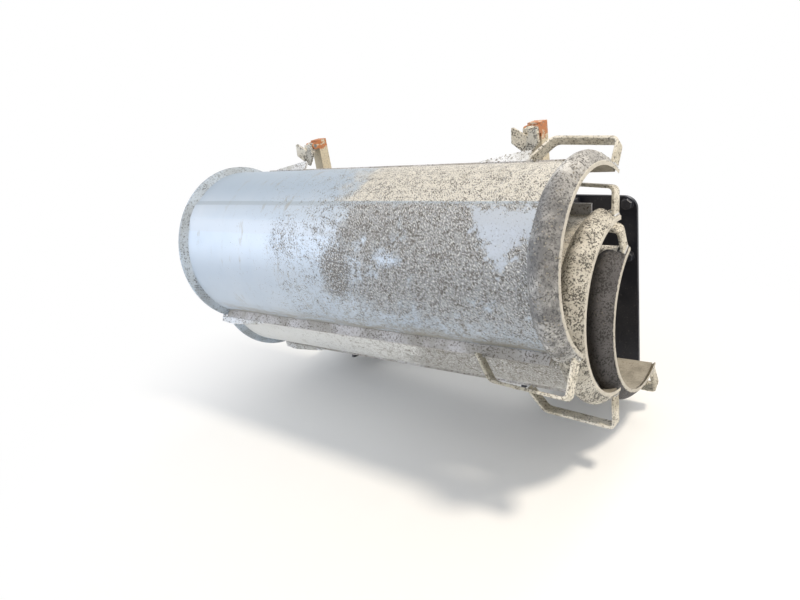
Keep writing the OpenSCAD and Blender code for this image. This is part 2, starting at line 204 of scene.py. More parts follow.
def mesh_of(bm, name):
    mesh = bpy.data.meshes.new(name)
    bm.to_mesh(mesh)
    bm.free()
    return mesh


plane = bmesh.new()
bmesh.ops.create_grid(plane, x_segments=1, y_segments=1, size=FLOOR_HALF)
floor = bpy.data.objects.new("floor", mesh_of(plane, "floor"))
floor.location.z = cad_box[0][2] - FLOOR_BELOW
floor.data.materials.append(floor_mat)
bpy.context.collection.objects.link(floor)
print("floor at z =", round(floor.location.z, 3))


# %% Lamps
def lamp(name, where, at, size, watts, colour="ffffff"):
    data = bpy.data.lights.new(name, "AREA")
    data.shape, data.size, data.energy, data.color = "DISK", size, watts, srgb(colour)[:3]
    o = bpy.data.objects.new(name, data)
    o.location = where
    o.rotation_euler = (Vector(at) - Vector(where)).to_track_quat("-Z", "Y").to_euler()
    bpy.context.collection.objects.link(o)
    return o


LAMPS = [
    lamp("key", (2.2, -0.5, 3.3), (0, -0.35, 0), 0.55, 112, "fff3e2"),
    lamp("fill", (-2.4, -3.2, 1.2), (0, -0.3, 0), 2.6, 66, "eaf1ff"),
    lamp("back", (0.4, 3.0, 2.2), (0, 0, 0), 2.0, 40),
]
print("lamps:", [o.name for o in LAMPS])

# %% [markdown]
# ## How the finishes are built
# A dirty surface is a stack of coats: clean metal, a grey film of cement, flecks on it, dust in
# the lower parts. It could be painted by hand on an unwrapped sheet, but three chutes and their
# fittings would each need a picture. Here every coat is a mask times a colour, laid over the one
# below. Masks come from noise, whose size is given in real millimetres, and from places on the
# chute, so dirt sits where concrete really splashes.


# %% Masks and coats
def blotches(place, mm, detail, rough, twist=0.0):
    """Settings of a noise texture whose blotches are about so many millimetres across."""
    return {"Vector": place, "Scale": 1000 / mm, "Detail": detail, "Roughness": rough, "Distortion": twist}


def total(tree, *shares, start=0.0):
    """start plus each value times its share. A share is a number or another value."""
    for value, share in shares:
        start = add(tree, "ShaderNodeMath", {0: value, 1: share, 2: start},
                    operation="MULTIPLY_ADD").outputs[0]
    return start


def mask(tree, *limits):
    """1 where every limit is met. A limit is a value, where it gives 0 and where it gives 1."""
    met = None
    for value, none, full in limits:
        edge = add(tree, "ShaderNodeMapRange", {"Value": value, "From Min": none, "From Max": full},
                   interpolation_type="SMOOTHSTEP").outputs[0]
        met = total(tree, (met, edge)) if met else edge
    return met


def coats(tree, colour, *layers):
    """Lays coats over a colour. Each is a mask, how much of the coat shows there, and its colour."""
    for where, shows, tint in layers:
        cover = where if shows == 1 else total(tree, (where, shows))
        colour = add(tree, "ShaderNodeMix", {0: cover, 6: colour, 7: tint}, data_type="RGBA").outputs[2]
    return colour


def finished(tree, shader, colour, height, depth, strength, **values):
    """Gives the shader its colour, its relief and other values, such as Roughness."""
    bump = add(tree, "ShaderNodeBump", {"Height": height, "Distance": depth, "Strength": strength})
    for socket, value in {"Base Color": colour, "Normal": bump.outputs[0], **values}.items():
        if isinstance(value, bpy.types.NodeSocket):
            tree.links.new(value, shader.inputs[socket])
        else:
            shader.inputs[socket].default_value = value


# %% Places on a chute
def chute_places(tree, spot, k):
    """Metres behind chute k's front lip, degrees about its axis, and 1 on its inner side."""
    own = PLACE[k].to_3x3()
    normal = add(tree, "ShaderNodeNewGeometry").outputs["Normal"]
    from_lip = add(tree, "ShaderNodeVectorMath", {0: spot, 1: tuple(PLACE[k].translation)},
                   operation="SUBTRACT").outputs[0]
    u, v, s, out_u, out_v = [
        add(tree, "ShaderNodeVectorMath", {0: what, 1: tuple(own.col[axis])},
            operation="DOT_PRODUCT").outputs["Value"]
        for what, axis in ((from_lip, 0), (from_lip, 1), (from_lip, 2), (normal, 0), (normal, 1))
    ]
    radians = add(tree, "ShaderNodeMath", {0: v, 1: u}, operation="ARCTAN2").outputs[0]
    outward = total(tree, (u, out_u), (v, out_v))
    return s, total(tree, (radians, 180 / math.pi)), mask(tree, (outward, 0.03, -0.03))


# %% [markdown]
# ## Rolled aluminium sheet under dried splashes
# The troughs are bare aluminium sheet, rolled to a half pipe. Clean, it is a soft mirror, and that is
# left at the rear. The outer sheet's clean tones are painted bluish, as shade lit by the sky, and
# every sheet has painted shade and sunlight on its crown and a painted reflection and painted shade
# on its swage. Towards the front, where the concrete leaves, flecks lie on it that close up to a
# grey film, and behind the collar a patch of it has flaked off. The flecks could be modelled, but
# they are thinner than paint, so they are colour with a slight relief.

# %% Scuffs and the flaked patch on the outer chute
ARC = 0.0035              # metres round the sheet for one degree
# distance behind the lip, angle, half length, half height in degrees, and how much thicker
SCUFFS = [(0.585, -33, 0.055, 19, 0.17), (0.77, -12, 0.060, 20, 0.11)]
PATCH_AT, PATCH_TOP = 0.125, 9            # metres behind the lip, and degrees
PATCH_WIDE, PATCH_TIP = 0.115, 0.03       # how much wider it gets, and how far it closes at its tip
PATCH_RAGGED, PATCH_STEEP = 0.26, 1.6     # of its outline, and of its top against its sides


def scuffs(tree, spare, s, angle, coarse):
    """Two places where the splashes lie close together."""
    for at, middle, half, tall, thicker in SCUFFS:
        off_s = total(tree, (s, 1 / half), start=-at / half)
        off_a = total(tree, (angle, 1 / tall), start=-middle / tall)
        off = total(tree, (off_s, off_s), (off_a, off_a), (coarse, 3.0), start=-1.5)
        spare = total(tree, (mask(tree, (off, 1.3, 0.0)), thicker), start=spare)
    return spare


def flaked_patch(tree, pos, s, angle, arc, grain):
    """A ragged wedge, wide under the swage and pointed below, with a few of the flecks left on it."""
    ragged = add(tree, "ShaderNodeTexNoise", blotches(pos, 23.81, 9, 0.8)).outputs[0]
    aside = total(tree, (s, 1.0), start=-PATCH_AT)
    aside = add(tree, "ShaderNodeMath", {0: aside}, operation="ABSOLUTE").outputs[0]
    aside = total(tree, (aside, 1.0), (mask(tree, (angle, -44, 14)), -PATCH_WIDE),
                  (ragged, PATCH_RAGGED), start=PATCH_TIP - PATCH_RAGGED / 2)
    above = total(tree, (arc, PATCH_STEEP), (ragged, PATCH_RAGGED),
                  start=-PATCH_STEEP * PATCH_TOP * ARC - PATCH_RAGGED / 2)
    outside = add(tree, "ShaderNodeMath", {0: aside, 1: above}, operation="MAXIMUM").outputs[0]
    return mask(tree, (outside, 0.002, -0.002), (grain, 0.65, 0.62))


# %% Bare sheet, its grey film and the runs of water
def bare_sheet(tree, pos, run, angle, light):
    """Two tones of clean sheet, with painted shade and sunlight on its crown and a painted reflection and
    painted shade on its swage.
    """
    tone = add(tree, "ShaderNodeTexNoise", blotches(pos, 200, 3, 0.6)).outputs[0]
    return coats(
        tree, light[0], (tone, 1, light[1]),
        # painted bluish shade lies on the crown, and painted warm sunlight over its front
        (mask(tree, (angle, 4, 30)), 0.55, "8d9fb1"),
        (mask(tree, (angle, 13.5, 15), (run, 0.70, 0.52)), 0.85, "d9d2c3"),
        # a painted reflection makes the swage's lower slope pale, and painted shade darkens its upper fold
        (mask(tree, (angle, -11, -9.6), (angle, -0.6, -1.6)), 0.5, "b3bac1"),
        (mask(tree, (angle, 9.4, 10.6), (angle, 14.6, 13.4)), 0.45, "8c979f"),
    )


def grey_film(tree, pos, run, angle):
    """A nearly closed film of cement over the belly's front."""
    belly = mask(tree, (angle, -84, -40), (run, 0.66, 0.40), (angle, 15, 9))
    cloud = add(tree, "ShaderNodeTexNoise", blotches(pos, 90.91, 6, 0.7)).outputs[0]
    cloud = total(tree, (cloud, 1.0), (belly, 0.19))
    return total(tree, (mask(tree, (cloud, 0.53, 0.64)), belly))


def dirty_runs(tree, pos, s, arc, run, clean_from):
    """Where dirty water has run round the belly, ahead of the clean end."""
    around = add(tree, "ShaderNodeCombineXYZ", {0: s, 1: total(tree, (arc, 0.23))}).outputs[0]
    streak = add(tree, "ShaderNodeTexNoise", blotches(around, 21.74, 5, 0.7)).outputs[0]
    patchy = add(tree, "ShaderNodeTexNoise", blotches(pos, 58.82, 6, 0.75)).outputs[0]
    return mask(tree, (streak, 0.54, 0.66), (run, clean_from + 0.08, clean_from - 0.2),
                (patchy, 0.44, 0.60))


# %% Inner side and lower rim of a sheet
def inner_skin(tree, pos, s, angle, arc, grain):
    """A beige skin of concrete, with flow lines along it and a scoured bottom."""
    flow = add(tree, "ShaderNodeCombineXYZ", {0: total(tree, (s, 0.05)), 1: arc}).outputs[0]
    lines = add(tree, "ShaderNodeTexNoise", blotches(flow, 16.67, 6, 0.75)).outputs[0]
    patchy = add(tree, "ShaderNodeTexNoise", blotches(pos, 41.67, 6, 0.7)).outputs[0]
    steep = add(tree, "ShaderNodeMath", {0: angle}, operation="ABSOLUTE").outputs[0]
    return coats(
        tree, "aba496", (mask(tree, (patchy, 0.35, 0.65)), 1, "8f897c"),
        (mask(tree, (lines, 0.46, 0.62)), 0.22, "79736a"),
        (mask(tree, (steep, 62, 18), (lines, 0.56, 0.44)), 0.3, "b9bab8"),
        (mask(tree, (grain, 0.58, 0.63)), 0.6, "5f594e"),
    )


def rim_dust(tree, spot, angle):
    """Where brown dust has run down onto the lower rim."""
    down = add(tree, "ShaderNodeMapping", {"Vector": spot, "Scale": (0.22, 1, 1)}).outputs[0]
    runs = add(tree, "ShaderNodeTexNoise", blotches(down, 21.74, 4, 0.7)).outputs[0]
    return mask(tree, (angle, -66, -86), (runs, 0.36, 0.60))


# %% Sheet
def sheet_material(k, clean_from, covered_from, light, dark, seed):
    """Rolled sheet, clean behind clean_from and under dried splashes ahead of covered_from."""
    # soft and half matte where it is bare, so that bends show as broad bands of sky
    m, t, shader = material("weathered aluminium with dried concrete, " + CHUTES[k])
    spot = add(t, "ShaderNodeTexCoord").outputs["Object"]
    pos = add(t, "ShaderNodeMapping", {"Vector": spot, "Location": (seed, seed * 0.7, -seed)}).outputs[0]
    s, angle, inner = chute_places(t, spot, k)
    arc = total(t, (angle, ARC))
    wander = add(t, "ShaderNodeTexNoise", blotches(pos, 222.2, 5, 0.65)).outputs[0]
    run = total(t, (s, 1.0), (wander, 0.9), start=-0.45)
    # splashes are flecks of 2 to 6 mm, drawn out aslant, that close up where the cover is thick
    drawn = total(t, (s, 0.45), (arc, 0.45))
    across = total(t, (arc, 1.0), (s, -1.0))
    aslant = add(t, "ShaderNodeCombineXYZ", {0: drawn, 1: across, 2: seed}).outputs[0]
    grain = add(t, "ShaderNodeTexNoise", blotches(aslant, 3.704, 3, 0.72)).outputs[0]
    coarse = add(t, "ShaderNodeTexNoise", blotches(pos, 16.13, 7, 0.78)).outputs[0]
    cover = mask(t, (run, clean_from, covered_from))
    spare = total(t, (grain, 1.0), (coarse, 0.75), (cover, 0.235), start=-1.115)
    if k == 0:
        spare = scuffs(t, spare, s, angle, coarse)
    fleck = mask(t, (spare, 0.0, 0.04))
    film = grey_film(t, pos, run, angle)
    # salt-like light grains stand on the splashes
    other = add(t, "ShaderNodeMapping", {"Vector": aslant, "Location": (4, 0, 0)}).outputs[0]
    salt = add(t, "ShaderNodeTexNoise", blotches(other, 3.704, 3, 0.72)).outputs[0]
    thick = add(t, "ShaderNodeMath", {0: film, 1: fleck}, operation="MAXIMUM").outputs[0]
    colour = coats(
        t, bare_sheet(t, pos, run, angle, light),
        (dirty_runs(t, pos, s, arc, run, clean_from), 0.5, "958d7d"),
        (film, 0.78, "8a8987"), (fleck, 0.93, dark),
        (total(t, (mask(t, (salt, 0.55, 0.58)), thick)), 0.88, "dedfdd"),
    )
    if k == 0:
        bare = flaked_patch(t, pos, s, angle, arc, grain)
        # the flaked patch is bare sheet, painted bluish as shade lit by the sky
        colour = coats(t, colour, (bare, 1, "b4bcc6"))
        film = total(t, (film, 1.0), (total(t, (film, bare)), -1.0))
    colour = coats(t, colour, (rim_dust(t, spot, angle), 0.8, "969082"),
                   (inner, 1, inner_skin(t, pos, s, angle, arc, grain)))
    matte = mask(t, (total(t, (film, 1.0), (inner, 1.0)), 0.0, 0.6))
    hidden = mask(t, (total(t, (film, 1.0), (fleck, 1.0), (inner, 1.0)), 0.0, 0.6))
    finished(t, shader, colour, total(t, (film, 0.5), (fleck, 0.6)), 0.0006, 0.6,
             Roughness=total(t, (matte, 0.39), start=0.46), Metallic=total(t, (hidden, -0.22), start=0.22))
    return m


SHEET = [
    # the outer sheet's clean tones are painted bluish, as shade lit by the sky
    sheet_material(0, 1.16, 0.46, ("a9b9ca", "c6ced6"), "57524b", 3.1),
    sheet_material(1, 1.5, 0.3, ("d2d5d6", "dfdfdb"), "6f695e", 7.7),
    sheet_material(2, 1.5, 0.3, ("b5b8ba", "c8c8c5"), "615c54", 12.3),
]
print("sheet finishes:", [m.name for m in SHEET])


# %% [markdown]
# ## Collars, rims, lugs, handles and catches under spatter
# These are thick aluminium, rolled or bent and welded on. They stand in the stream, so they wear
# a rough crust with dark pits of about 3 mm, except on the lip, which is rubbed bright. The
# crust could be modelled, but at this distance only its colours and its rough shading show.
# One finish serves all the pieces, with its own colours and cover for each kind.

# %% Spattered metal
def spattered_metal(name, clean, crust, dark, k=None, cover=0.5, seed=0.0):
    """Rolled or bent metal under spatter. With k, the front lip of that chute is worn bright."""
    # dull and chalky, with hardly any metal left to see
    m, t, shader = material(name)
    spot = add(t, "ShaderNodeTexCoord").outputs["Object"]
    pos = add(t, "ShaderNodeMapping", {"Vector": spot, "Location": (seed, -seed, seed * 0.6)}).outputs[0]
    grain = add(t, "ShaderNodeTexNoise", blotches(pos, 4.348, 3, 0.7)).outputs[0]
    lumps = add(t, "ShaderNodeTexNoise", blotches(pos, 14.286, 6, 0.72, twist=0.6)).outputs[0]
    tone = add(t, "ShaderNodeTexNoise", blotches(pos, 111.1, 4, 0.6)).outputs[0]
    # dark pits lie closer together in some places, and the crust's lumps take its own colour
    crowd = add(t, "ShaderNodeTexNoise", blotches(pos, 29.41, 7, 0.78)).outputs[0]
    crowd = mask(t, (crowd, 0.34, 0.64))
    pits = mask(t, (total(t, (grain, 1.0), (crowd, 0.05 + 0.13 * cover)), 0.60, 0.66))
    raised = mask(t, (lumps, 0.66 - cover * 0.3, 0.78 - cover * 0.3))
    colour = coats(t, clean, (mask(t, (tone, 0.38, 0.62)), 1, crust), (raised, 0.45, crust),
                   (pits, 0.85, dark))
    if k is not None:
        s, angle, inner = chute_places(t, spot, k)
        if k == 0:
            # the outer collar's flank is painted darker below the swage, partly grime and partly painted
            # shade, and left bright above it
            grime_and_shade = add(t, "ShaderNodeTexNoise", blotches(pos, 33.33, 7, 0.75)).outputs[0]
            grime_and_shade = mask(t, (angle, 34, 8), (angle, -88, -62), (grime_and_shade, 0.66, 0.42))
            colour = coats(t, colour, (grime_and_shade, 0.7, "5a5b5e"))
        ragged = add(t, "ShaderNodeTexNoise", blotches(pos, 8.333, 4, 0.6)).outputs[0]
        worn = mask(t, (total(t, (s, 1.0), (ragged, 0.004)), 0.0036, 0.0026))
        colour = coats(t, colour, (inner, 1, coats(t, "a89c84", (lumps, 1, "7d745f"))),
                       (worn, 0.75, "ddd8cc"))
    finished(t, shader, colour, total(t, (lumps, 1.6), (pits, -0.35)), 0.0022, 0.8,
             Roughness=0.8, Metallic=0.05)
    return m


COLLAR_MAT = [
    spattered_metal("spattered aluminium collar, outer", "dddcd9", "a3a2a0", "4c4a48", 0, 0.6, 1.0),
    spattered_metal("spattered aluminium collar, middle", "ebe7dd", "c1bcb0", "34322e", 1, 1.0, 4.0),
    spattered_metal("spattered aluminium collar, inner", "6c6a6b", "5a5859", "302f2e", 2, 0.9, 9.0),
]
# the rear collars' clean tone is painted bluish, as shade lit by the sky
REAR_MAT = spattered_metal("lightly spattered rear collar", "b9c5d1", "aab2b9", "5c5c5b", cover=0.3, seed=2.0)
RIM_MAT = spattered_metal("dusty aluminium rim", "cfced0", "aba8a3", "655e54", cover=0.4, seed=5.0)
LUG_MAT = spattered_metal("worn and stained lug", "eceff3", "c6c6c2", "665e51", cover=0.4, seed=6.0)
HANDLE_MAT = spattered_metal("spattered handle strap", "e4dfd2", "c2bba9", "5f584c", cover=0.45, seed=8.0)
CATCH_MAT = spattered_metal("spattered catch", "f2efe6", "d3cdbf", "3f3b33", cover=0.75, seed=11.0)
print("spattered finishes:", [m.name for m in COLLAR_MAT + [REAR_MAT, RIM_MAT]],
      [m.name for m in (LUG_MAT, HANDLE_MAT, CATCH_MAT)])


# %% [markdown]
# ## Paint, rubber and zinc under dust
# The rack is sprayed steel, dark and half glossy, and the posts have lost most of an orange coat
# over cream. Rubber pads and zinc-plated pins are small and dull. Each could be one plain colour,
# but dust is what they share: a thin cloudy film with grains. Real dust is far too fine to show,
# so its grains are drawn about 4 mm wide.

# %% Dusty finishes
def dusty_finish(name, top, dust, amount, rough=0.42, chips=None, above=None, metallic=0.0):
    """A coat under dust. With chips it has worn to that colour, and below the height above it has gone."""
    m, t, shader = material(name)
    spot = add(t, "ShaderNodeTexCoord").outputs["Object"]
    fine = add(t, "ShaderNodeTexNoise", blotches(spot, 3.846, 3, 0.7)).outputs[0]
    fine = mask(t, (fine, 0.60, 0.70))
    cloud = add(t, "ShaderNodeTexNoise", blotches(spot, 142.86, 5, 0.65)).outputs[0]
    cloud = mask(t, (cloud, 0.40, 0.75))
    colour = coats(t, top, (cloud, amount, dust), (fine, total(t, (cloud, 0.7), start=0.1), dust))
    if chips:
        chipped = add(t, "ShaderNodeTexNoise", blotches(spot, 18.18, 6, 0.75)).outputs[0]
        edge = add(t, "ShaderNodeTexNoise", blotches(spot, 11.11, 4, 0.6)).outputs[0]
        dirt = add(t, "ShaderNodeTexNoise", blotches(spot, 3.846, 4, 0.7)).outputs[0]
        height = add(t, "ShaderNodeSeparateXYZ", {0: spot}).outputs["Z"]
        low = mask(t, (total(t, (height, 1.0), (edge, 0.02)), above + 0.012, above + 0.008))
        gone = add(t, "ShaderNodeMath", {0: mask(t, (chipped, 0.54, 0.58)), 1: low},
                   operation="MAXIMUM").outputs[0]
        colour = coats(t, colour, (gone, 1, chips), (mask(t, (dirt, 0.56, 0.64)), 1, "6f675a"))
    dulled = mask(t, (total(t, (cloud, amount)), 0.0, amount + 0.01))
    finished(t, shader, colour, fine, 0.0003, 0.5,
             Roughness=total(t, (dulled, 0.8 - rough), start=rough), Metallic=metallic)
    return m


POST_BARE_BELOW = 0.292   # the orange is left above this height only
# sprayed paint gives a nearly black ground with a soft sheen
RACK_MAT = dusty_finish("dark navy paint, dusty", "0b0e1b", "67635d", 0.12)
# worn paint is flat, and its orange ends in sharp chips over the cream
POST_MAT = dusty_finish("worn orange paint over cream", "b8713f", "a99d88", 0.4, 0.55,
                        "cdc2aa", POST_BARE_BELOW)
# under thick dust the same spray turns pale and loses its sheen
ARM_MAT = dusty_finish("navy paint under thick dust", "23252d", "a39a83", 0.75, 0.7)
# moulded rubber is a flat black that only its dust makes grey
RUBBER_MAT = dusty_finish("black rubber, dusty", "141414", "5f5b55", 0.3, 0.7)
# plated zinc gone dull reflects broadly and weakly
STEEL_MAT = dusty_finish("zinc-plated steel, dull", "7d7b78", "5c5045", 0.5, 0.4, metallic=0.8)
# sprayed bolts are dark, and the light slides over their flats
BOLT_MAT = dusty_finish("painted bolt, dark with worn corners", "1b1e28", "77716a", 0.45)
print("dusty finishes:", [m.name for m in (RACK_MAT, POST_MAT, ARM_MAT, RUBBER_MAT, STEEL_MAT, BOLT_MAT)])

# %% [markdown]
# ## Finishes on the solids
# A solid of the part keeps its place and its mesh and only changes its finish. Looking each one
# up by name is safer than by order, so a short table pairs the ends of their names with finishes.


# %% Solids get their finish
def dress(name, finish):
    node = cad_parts[name]
    node.data.materials.clear()
    node.data.materials.append(finish)


for k, chute in enumerate(CHUTES):
    for part, finish in (
        ("trough", SHEET[k]), ("front_collar", COLLAR_MAT[k]), ("rear_collar", REAR_MAT),
        ("rim_flanges", RIM_MAT), ("ramp_lugs", LUG_MAT),
        ("upper_handle", HANDLE_MAT), ("lower_handle", HANDLE_MAT),
    ):
        dress(chute + "_" + part, finish)
for end in ENDS:
    for part, finish in (
        ("hanger_plate", RACK_MAT), ("cradle_rib", RACK_MAT), ("cradle_pad", RUBBER_MAT),
        ("post_arm", ARM_MAT), ("post", POST_MAT), ("catch_pin", STEEL_MAT),
        ("catch_arm", CATCH_MAT), ("catch_plate", CATCH_MAT),
    ):
        dress(part + "_" + end, finish)
print("finished", len(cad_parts), "solids")


# %% [markdown]
# ## Making a piece
# Every added piece is a mesh whose points already stand in their place, so its object stays at
# the origin. It rides on a body, which carries it along, and takes its finish.
# Bars, plates and beads could each be built in their own way, but all of them are rings of points
# that are joined one to the next, so one short function makes the skin of each.

# %% Making and placing pieces
SHARP = math.radians(38)


def closed_mesh(bm, name):
    bmesh.ops.recalc_face_normals(bm, faces=bm.faces)
    return mesh_of(bm, name)


def piece(name, mesh, mat, body, smooth=True):
    o = bpy.data.objects.new(name, mesh)
    bpy.context.collection.objects.link(o)
    o.data.materials.append(mat)
    if smooth:
        for p in o.data.polygons:
            p.use_smooth = True
        o.data.set_sharp_from_angle(angle=SHARP)
    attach(o, body)
    return o


def lathe(bm, rings):
    """Joins equal rings of points into a closed skin, with a cap on each end."""
    rows = [[bm.verts.new(p) for p in ring] for ring in rings]
    n = len(rows[0])
    for a, b in zip(rows, rows[1:]):
        for i in range(n):
            bm.faces.new((a[i], a[(i + 1) % n], b[(i + 1) % n], b[i]))
    bm.faces.new(rows[0][::-1])
    bm.faces.new(rows[-1])


def bevelled(o, width, segments=2):
    mod = o.modifiers.new("rounded edges", "BEVEL")
    mod.width, mod.segments = width, segments
    mod.limit_method, mod.angle_limit = "ANGLE", math.radians(35)
    return o


# %% [markdown]
# ## Sheets with their swage
# A trough is one rolled sheet whose belly is pressed outward in a long flat ridge, the swage,
# to stiffen it. It could be a scaled pipe with a bump map, but its folds and the slight dents of
# a used sheet are what catches the light. So each sheet is a fine grid of points on the same cone
# as the solid, with a wall behind it.

# %% The swage and the dents
SWAGE_RISE, SHEET_FROM = 0.0052, 0.0095
SWAGE = [(-10.0, 0.0), (-1.0, 1.0), (10.0, 1.0), (14.0, 0.0)]     # degrees, and share of the rise
DENT = [0.0013, 0.0007, 0.0]              # the inner chute rests on its pads and stays round
DENT_FADE = 0.06
FOLDS = [a + d for a, _ in SWAGE for d in (-0.5, 0.5)]
ANGLES = sorted([a for a in range(-90, 91, 3) if min(abs(a - f) for f, _ in SWAGE) > 1.2] + FOLDS)


def swage(angle):
    """How much of the swage's rise the sheet has at an angle from the middle of its belly."""
    for (a, low), (b, high) in zip(SWAGE, SWAGE[1:]):
        if a <= angle <= b:
            return low + (high - low) * (angle - a) / (b - a)
    return 0.0


def dent(k, angle, s):
    """Slight waves of a used sheet, which fade towards its ends and rims."""
    from_ends = min(1.0, (s - COLLAR) / DENT_FADE, (LENGTH - FLARE - s) / DENT_FADE)
    spot = Vector((s * 5.5, math.radians(angle) * 1.3, 3.7 * k))
    return DENT[k] * max(0.0, from_ends) * math.cos(math.radians(angle)) * waves.noise(spot)


print("folds at", FOLDS, "degrees")

# %% Rolled sheets
# the sheet runs on under the collar's crown to the lip, with its swage let down there
ROWS_AT = [SHEET_FROM, 0.025, 0.04, 0.055]
ROWS_AT += [COLLAR + (LENGTH - FLARE - COLLAR) * i / 60 for i in range(61)]


def sheet_row(bm, k, s, depth):
    """The sheet's points at a distance behind the lip, at a depth under its outer side."""
    press = min(1.0, max(0.0, (s - SHEET_FROM) / (COLLAR - SHEET_FROM)))
    row = []
    for a in ANGLES:
        r = trough_r(s) + SWAGE_RISE * press * swage(a) + dent(k, a, s) - depth
        spot = Vector((r * math.cos(math.radians(a)), r * math.sin(math.radians(a)), s))
        row.append(bm.verts.new(PLACE[k] @ spot))
    return row


def sheet_mesh(k):
    bm = bmesh.new()
    pairs = [(sheet_row(bm, k, s, 0.0), sheet_row(bm, k, s, WALL)) for s in ROWS_AT]
    out, inn = [p[0] for p in pairs], [p[1] for p in pairs]
    n, m = len(out), len(ANGLES)
    for i in range(n - 1):
        for j in range(m - 1):
            for skin in (out, inn):
                bm.faces.new((skin[i][j], skin[i][j + 1], skin[i + 1][j + 1], skin[i + 1][j]))
        for j in (0, m - 1):
            bm.faces.new((out[i][j], inn[i][j], inn[i + 1][j], out[i + 1][j]))
    for j in range(m - 1):
        for i in (0, n - 1):
            bm.faces.new((out[i][j], out[i][j + 1], inn[i][j + 1], inn[i][j]))
    return closed_mesh(bm, "sheet")


for k, chute in enumerate(CHUTES):
    o = piece(chute + "_rolled_sheet", sheet_mesh(k), SHEET[k], "chute_" + chute)
    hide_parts(chute + "_trough")
    print(o.name, len(o.data.polygons), "faces")

# %% [markdown]
# ## Handles
# A handle is one flat bar, bent twice: it leaves the rim, runs forward and comes down on the
# lip of the collar. A curve with a bevel would make a round rod of it. It is swept instead, one
# flat section after the other along the bent line, so its edges stay even in the bends.

# %% Bent straps
STRAP_W, STRAP_T, STRAP_EDGE, BEND_R = 0.032, 0.007, 0.0011, 0.013
HANDLE_U, HANDLE_LEAN = 0.015, 3.0
# places up from the chute's axis and behind its front lip: foot, bend, corner and end
UPPER_PATH = [(0.2395, 0.207), (0.289, 0.163), (0.276, 0.008), (0.2155, 0.008)]
LOWER_PATH = [(0.2400, 0.235), (0.295, 0.188), (0.302, 0.008), (0.2155, 0.008)]
MADE = {}                 # pieces that stand for a solid, by the solid's name


def eased_path(corners, cut, steps=6):
    """The corners' line with each inner corner turned into a smooth bend."""
    corners = [Vector(c) for c in corners]
    line = [corners[0]]
    for a, b, c in zip(corners, corners[1:], corners[2:]):
        start, end = b + (a - b).normalized() * cut, b + (c - b).normalized() * cut
        for i in range(steps + 1):
            f = i / steps
            line.append(start * (1 - f) ** 2 + b * 2 * f * (1 - f) + end * f * f)
    return line + [corners[-1]]


def strap_mesh(k, corners, sign):
    line = eased_path(corners, BEND_R)
    lean, end_v = math.radians(HANDLE_LEAN), corners[-1][0]
    w, h, edge = STRAP_W / 2, STRAP_T / 2, STRAP_EDGE
    section = [(w, h - edge), (w - edge, h), (edge - w, h), (-w, h - edge),
               (-w, edge - h), (edge - w, -h), (w - edge, -h), (w, edge - h)]
    rings = []
    for i, p in enumerate(line):
        d = (line[min(i + 1, len(line) - 1)] - line[max(i - 1, 0)]).normalized()
        ring = []
        for across, thick in section:
            rise, s = p[0] - d[1] * thick - end_v, p[1] + d[0] * thick
            u = HANDLE_U + across * math.cos(lean) - rise * math.sin(lean)
            v = end_v + rise * math.cos(lean) + across * math.sin(lean)
            ring.append(PLACE[k] @ Vector((u, sign * v, s)))
        rings.append(ring)
    bm = bmesh.new()
    lathe(bm, rings)
    return closed_mesh(bm, "strap")


for k, chute in enumerate(CHUTES):
    for which, corners, sign in (("_upper", UPPER_PATH, 1), ("_lower", LOWER_PATH, -1)):
        o = piece(chute + which + "_strap", strap_mesh(k, corners, sign), HANDLE_MAT,
                  "chute_" + chute)
        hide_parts(chute + which + "_handle")
        MADE[chute + which + "_handle"] = o
print("handles:", len(MADE))

# %% [markdown]
# ## Ramp lugs
# Plates welded on the rims ramp up to a square end, where a catch takes hold. The lower one
# at the rear is longer and rises towards the rear lip, so that the next chute can be hooked on.
# They could be cut from blocks, but a cut plate is just its outline twice, a plate's thickness
# apart, so that is how they are made, with lightly rounded edges.


# %% Plates on the rims
def edge_v(s):
    """How far up the rim plane the flange's edge lies."""
    return trough_r(s) + FLANGE_W


LUG_H, RAMP_LENGTH, RAMP_TOE, PLATE_EDGE = 0.028, 0.138, 0.003, 0.001
RAMPS_AT = (0.222, 1.019)                 # metres behind the front lip, on the upper rim
HOOK = [(edge_v(1.006), 1.006), (0.2630, 1.040), (0.2760, 1.165), (0.2720, 1.212), (0.2560, 1.2175),
        (0.2500, 1.2175), (edge_v(1.190), 1.190)]


def ramp(s):
    """Outline of a lug, as places up the rim plane and behind the front lip."""
    end = s + RAMP_LENGTH
    return [(edge_v(s), s), (edge_v(s) + LUG_H, s), (edge_v(s) + LUG_H, s + LUG_H / 2),
            (edge_v(end) + RAMP_TOE, end), (edge_v(end), end)]


def lugs_mesh(k):
    bm = bmesh.new()
    for outline, sign in [(ramp(s), 1) for s in RAMPS_AT] + [(HOOK, -1)]:
        lathe(bm, [[PLACE[k] @ Vector((u, sign * v, s)) for v, s in outline] for u in (0.0, FLANGE_T)])
    return closed_mesh(bm, "lugs")


for k, chute in enumerate(CHUTES):
    o = piece(chute + "_lug_plates", lugs_mesh(k), LUG_MAT, "chute_" + chute)
    bevelled(o, PLATE_EDGE)
    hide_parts(chute + "_ramp_lugs")
    MADE[chute + "_ramp_lugs"] = o
print("lug plates on", len(CHUTES), "chutes")

# %% [markdown]
# ## Catch plates
# Each catch ends in a plate folded down its middle, with a vee cut in its top, whose arms point
# up like ears. It could be cut from a box, but the fold would then need two cuts at an angle.
# One wing's outline, mirrored and turned back by 20 degrees, gives the plate at once.

# %% Folded vee plates
CATCH_FOLD, CATCH_T, CATCH_AHEAD, CATCH_EDGE = math.radians(20), 0.007, 0.018, 0.0012
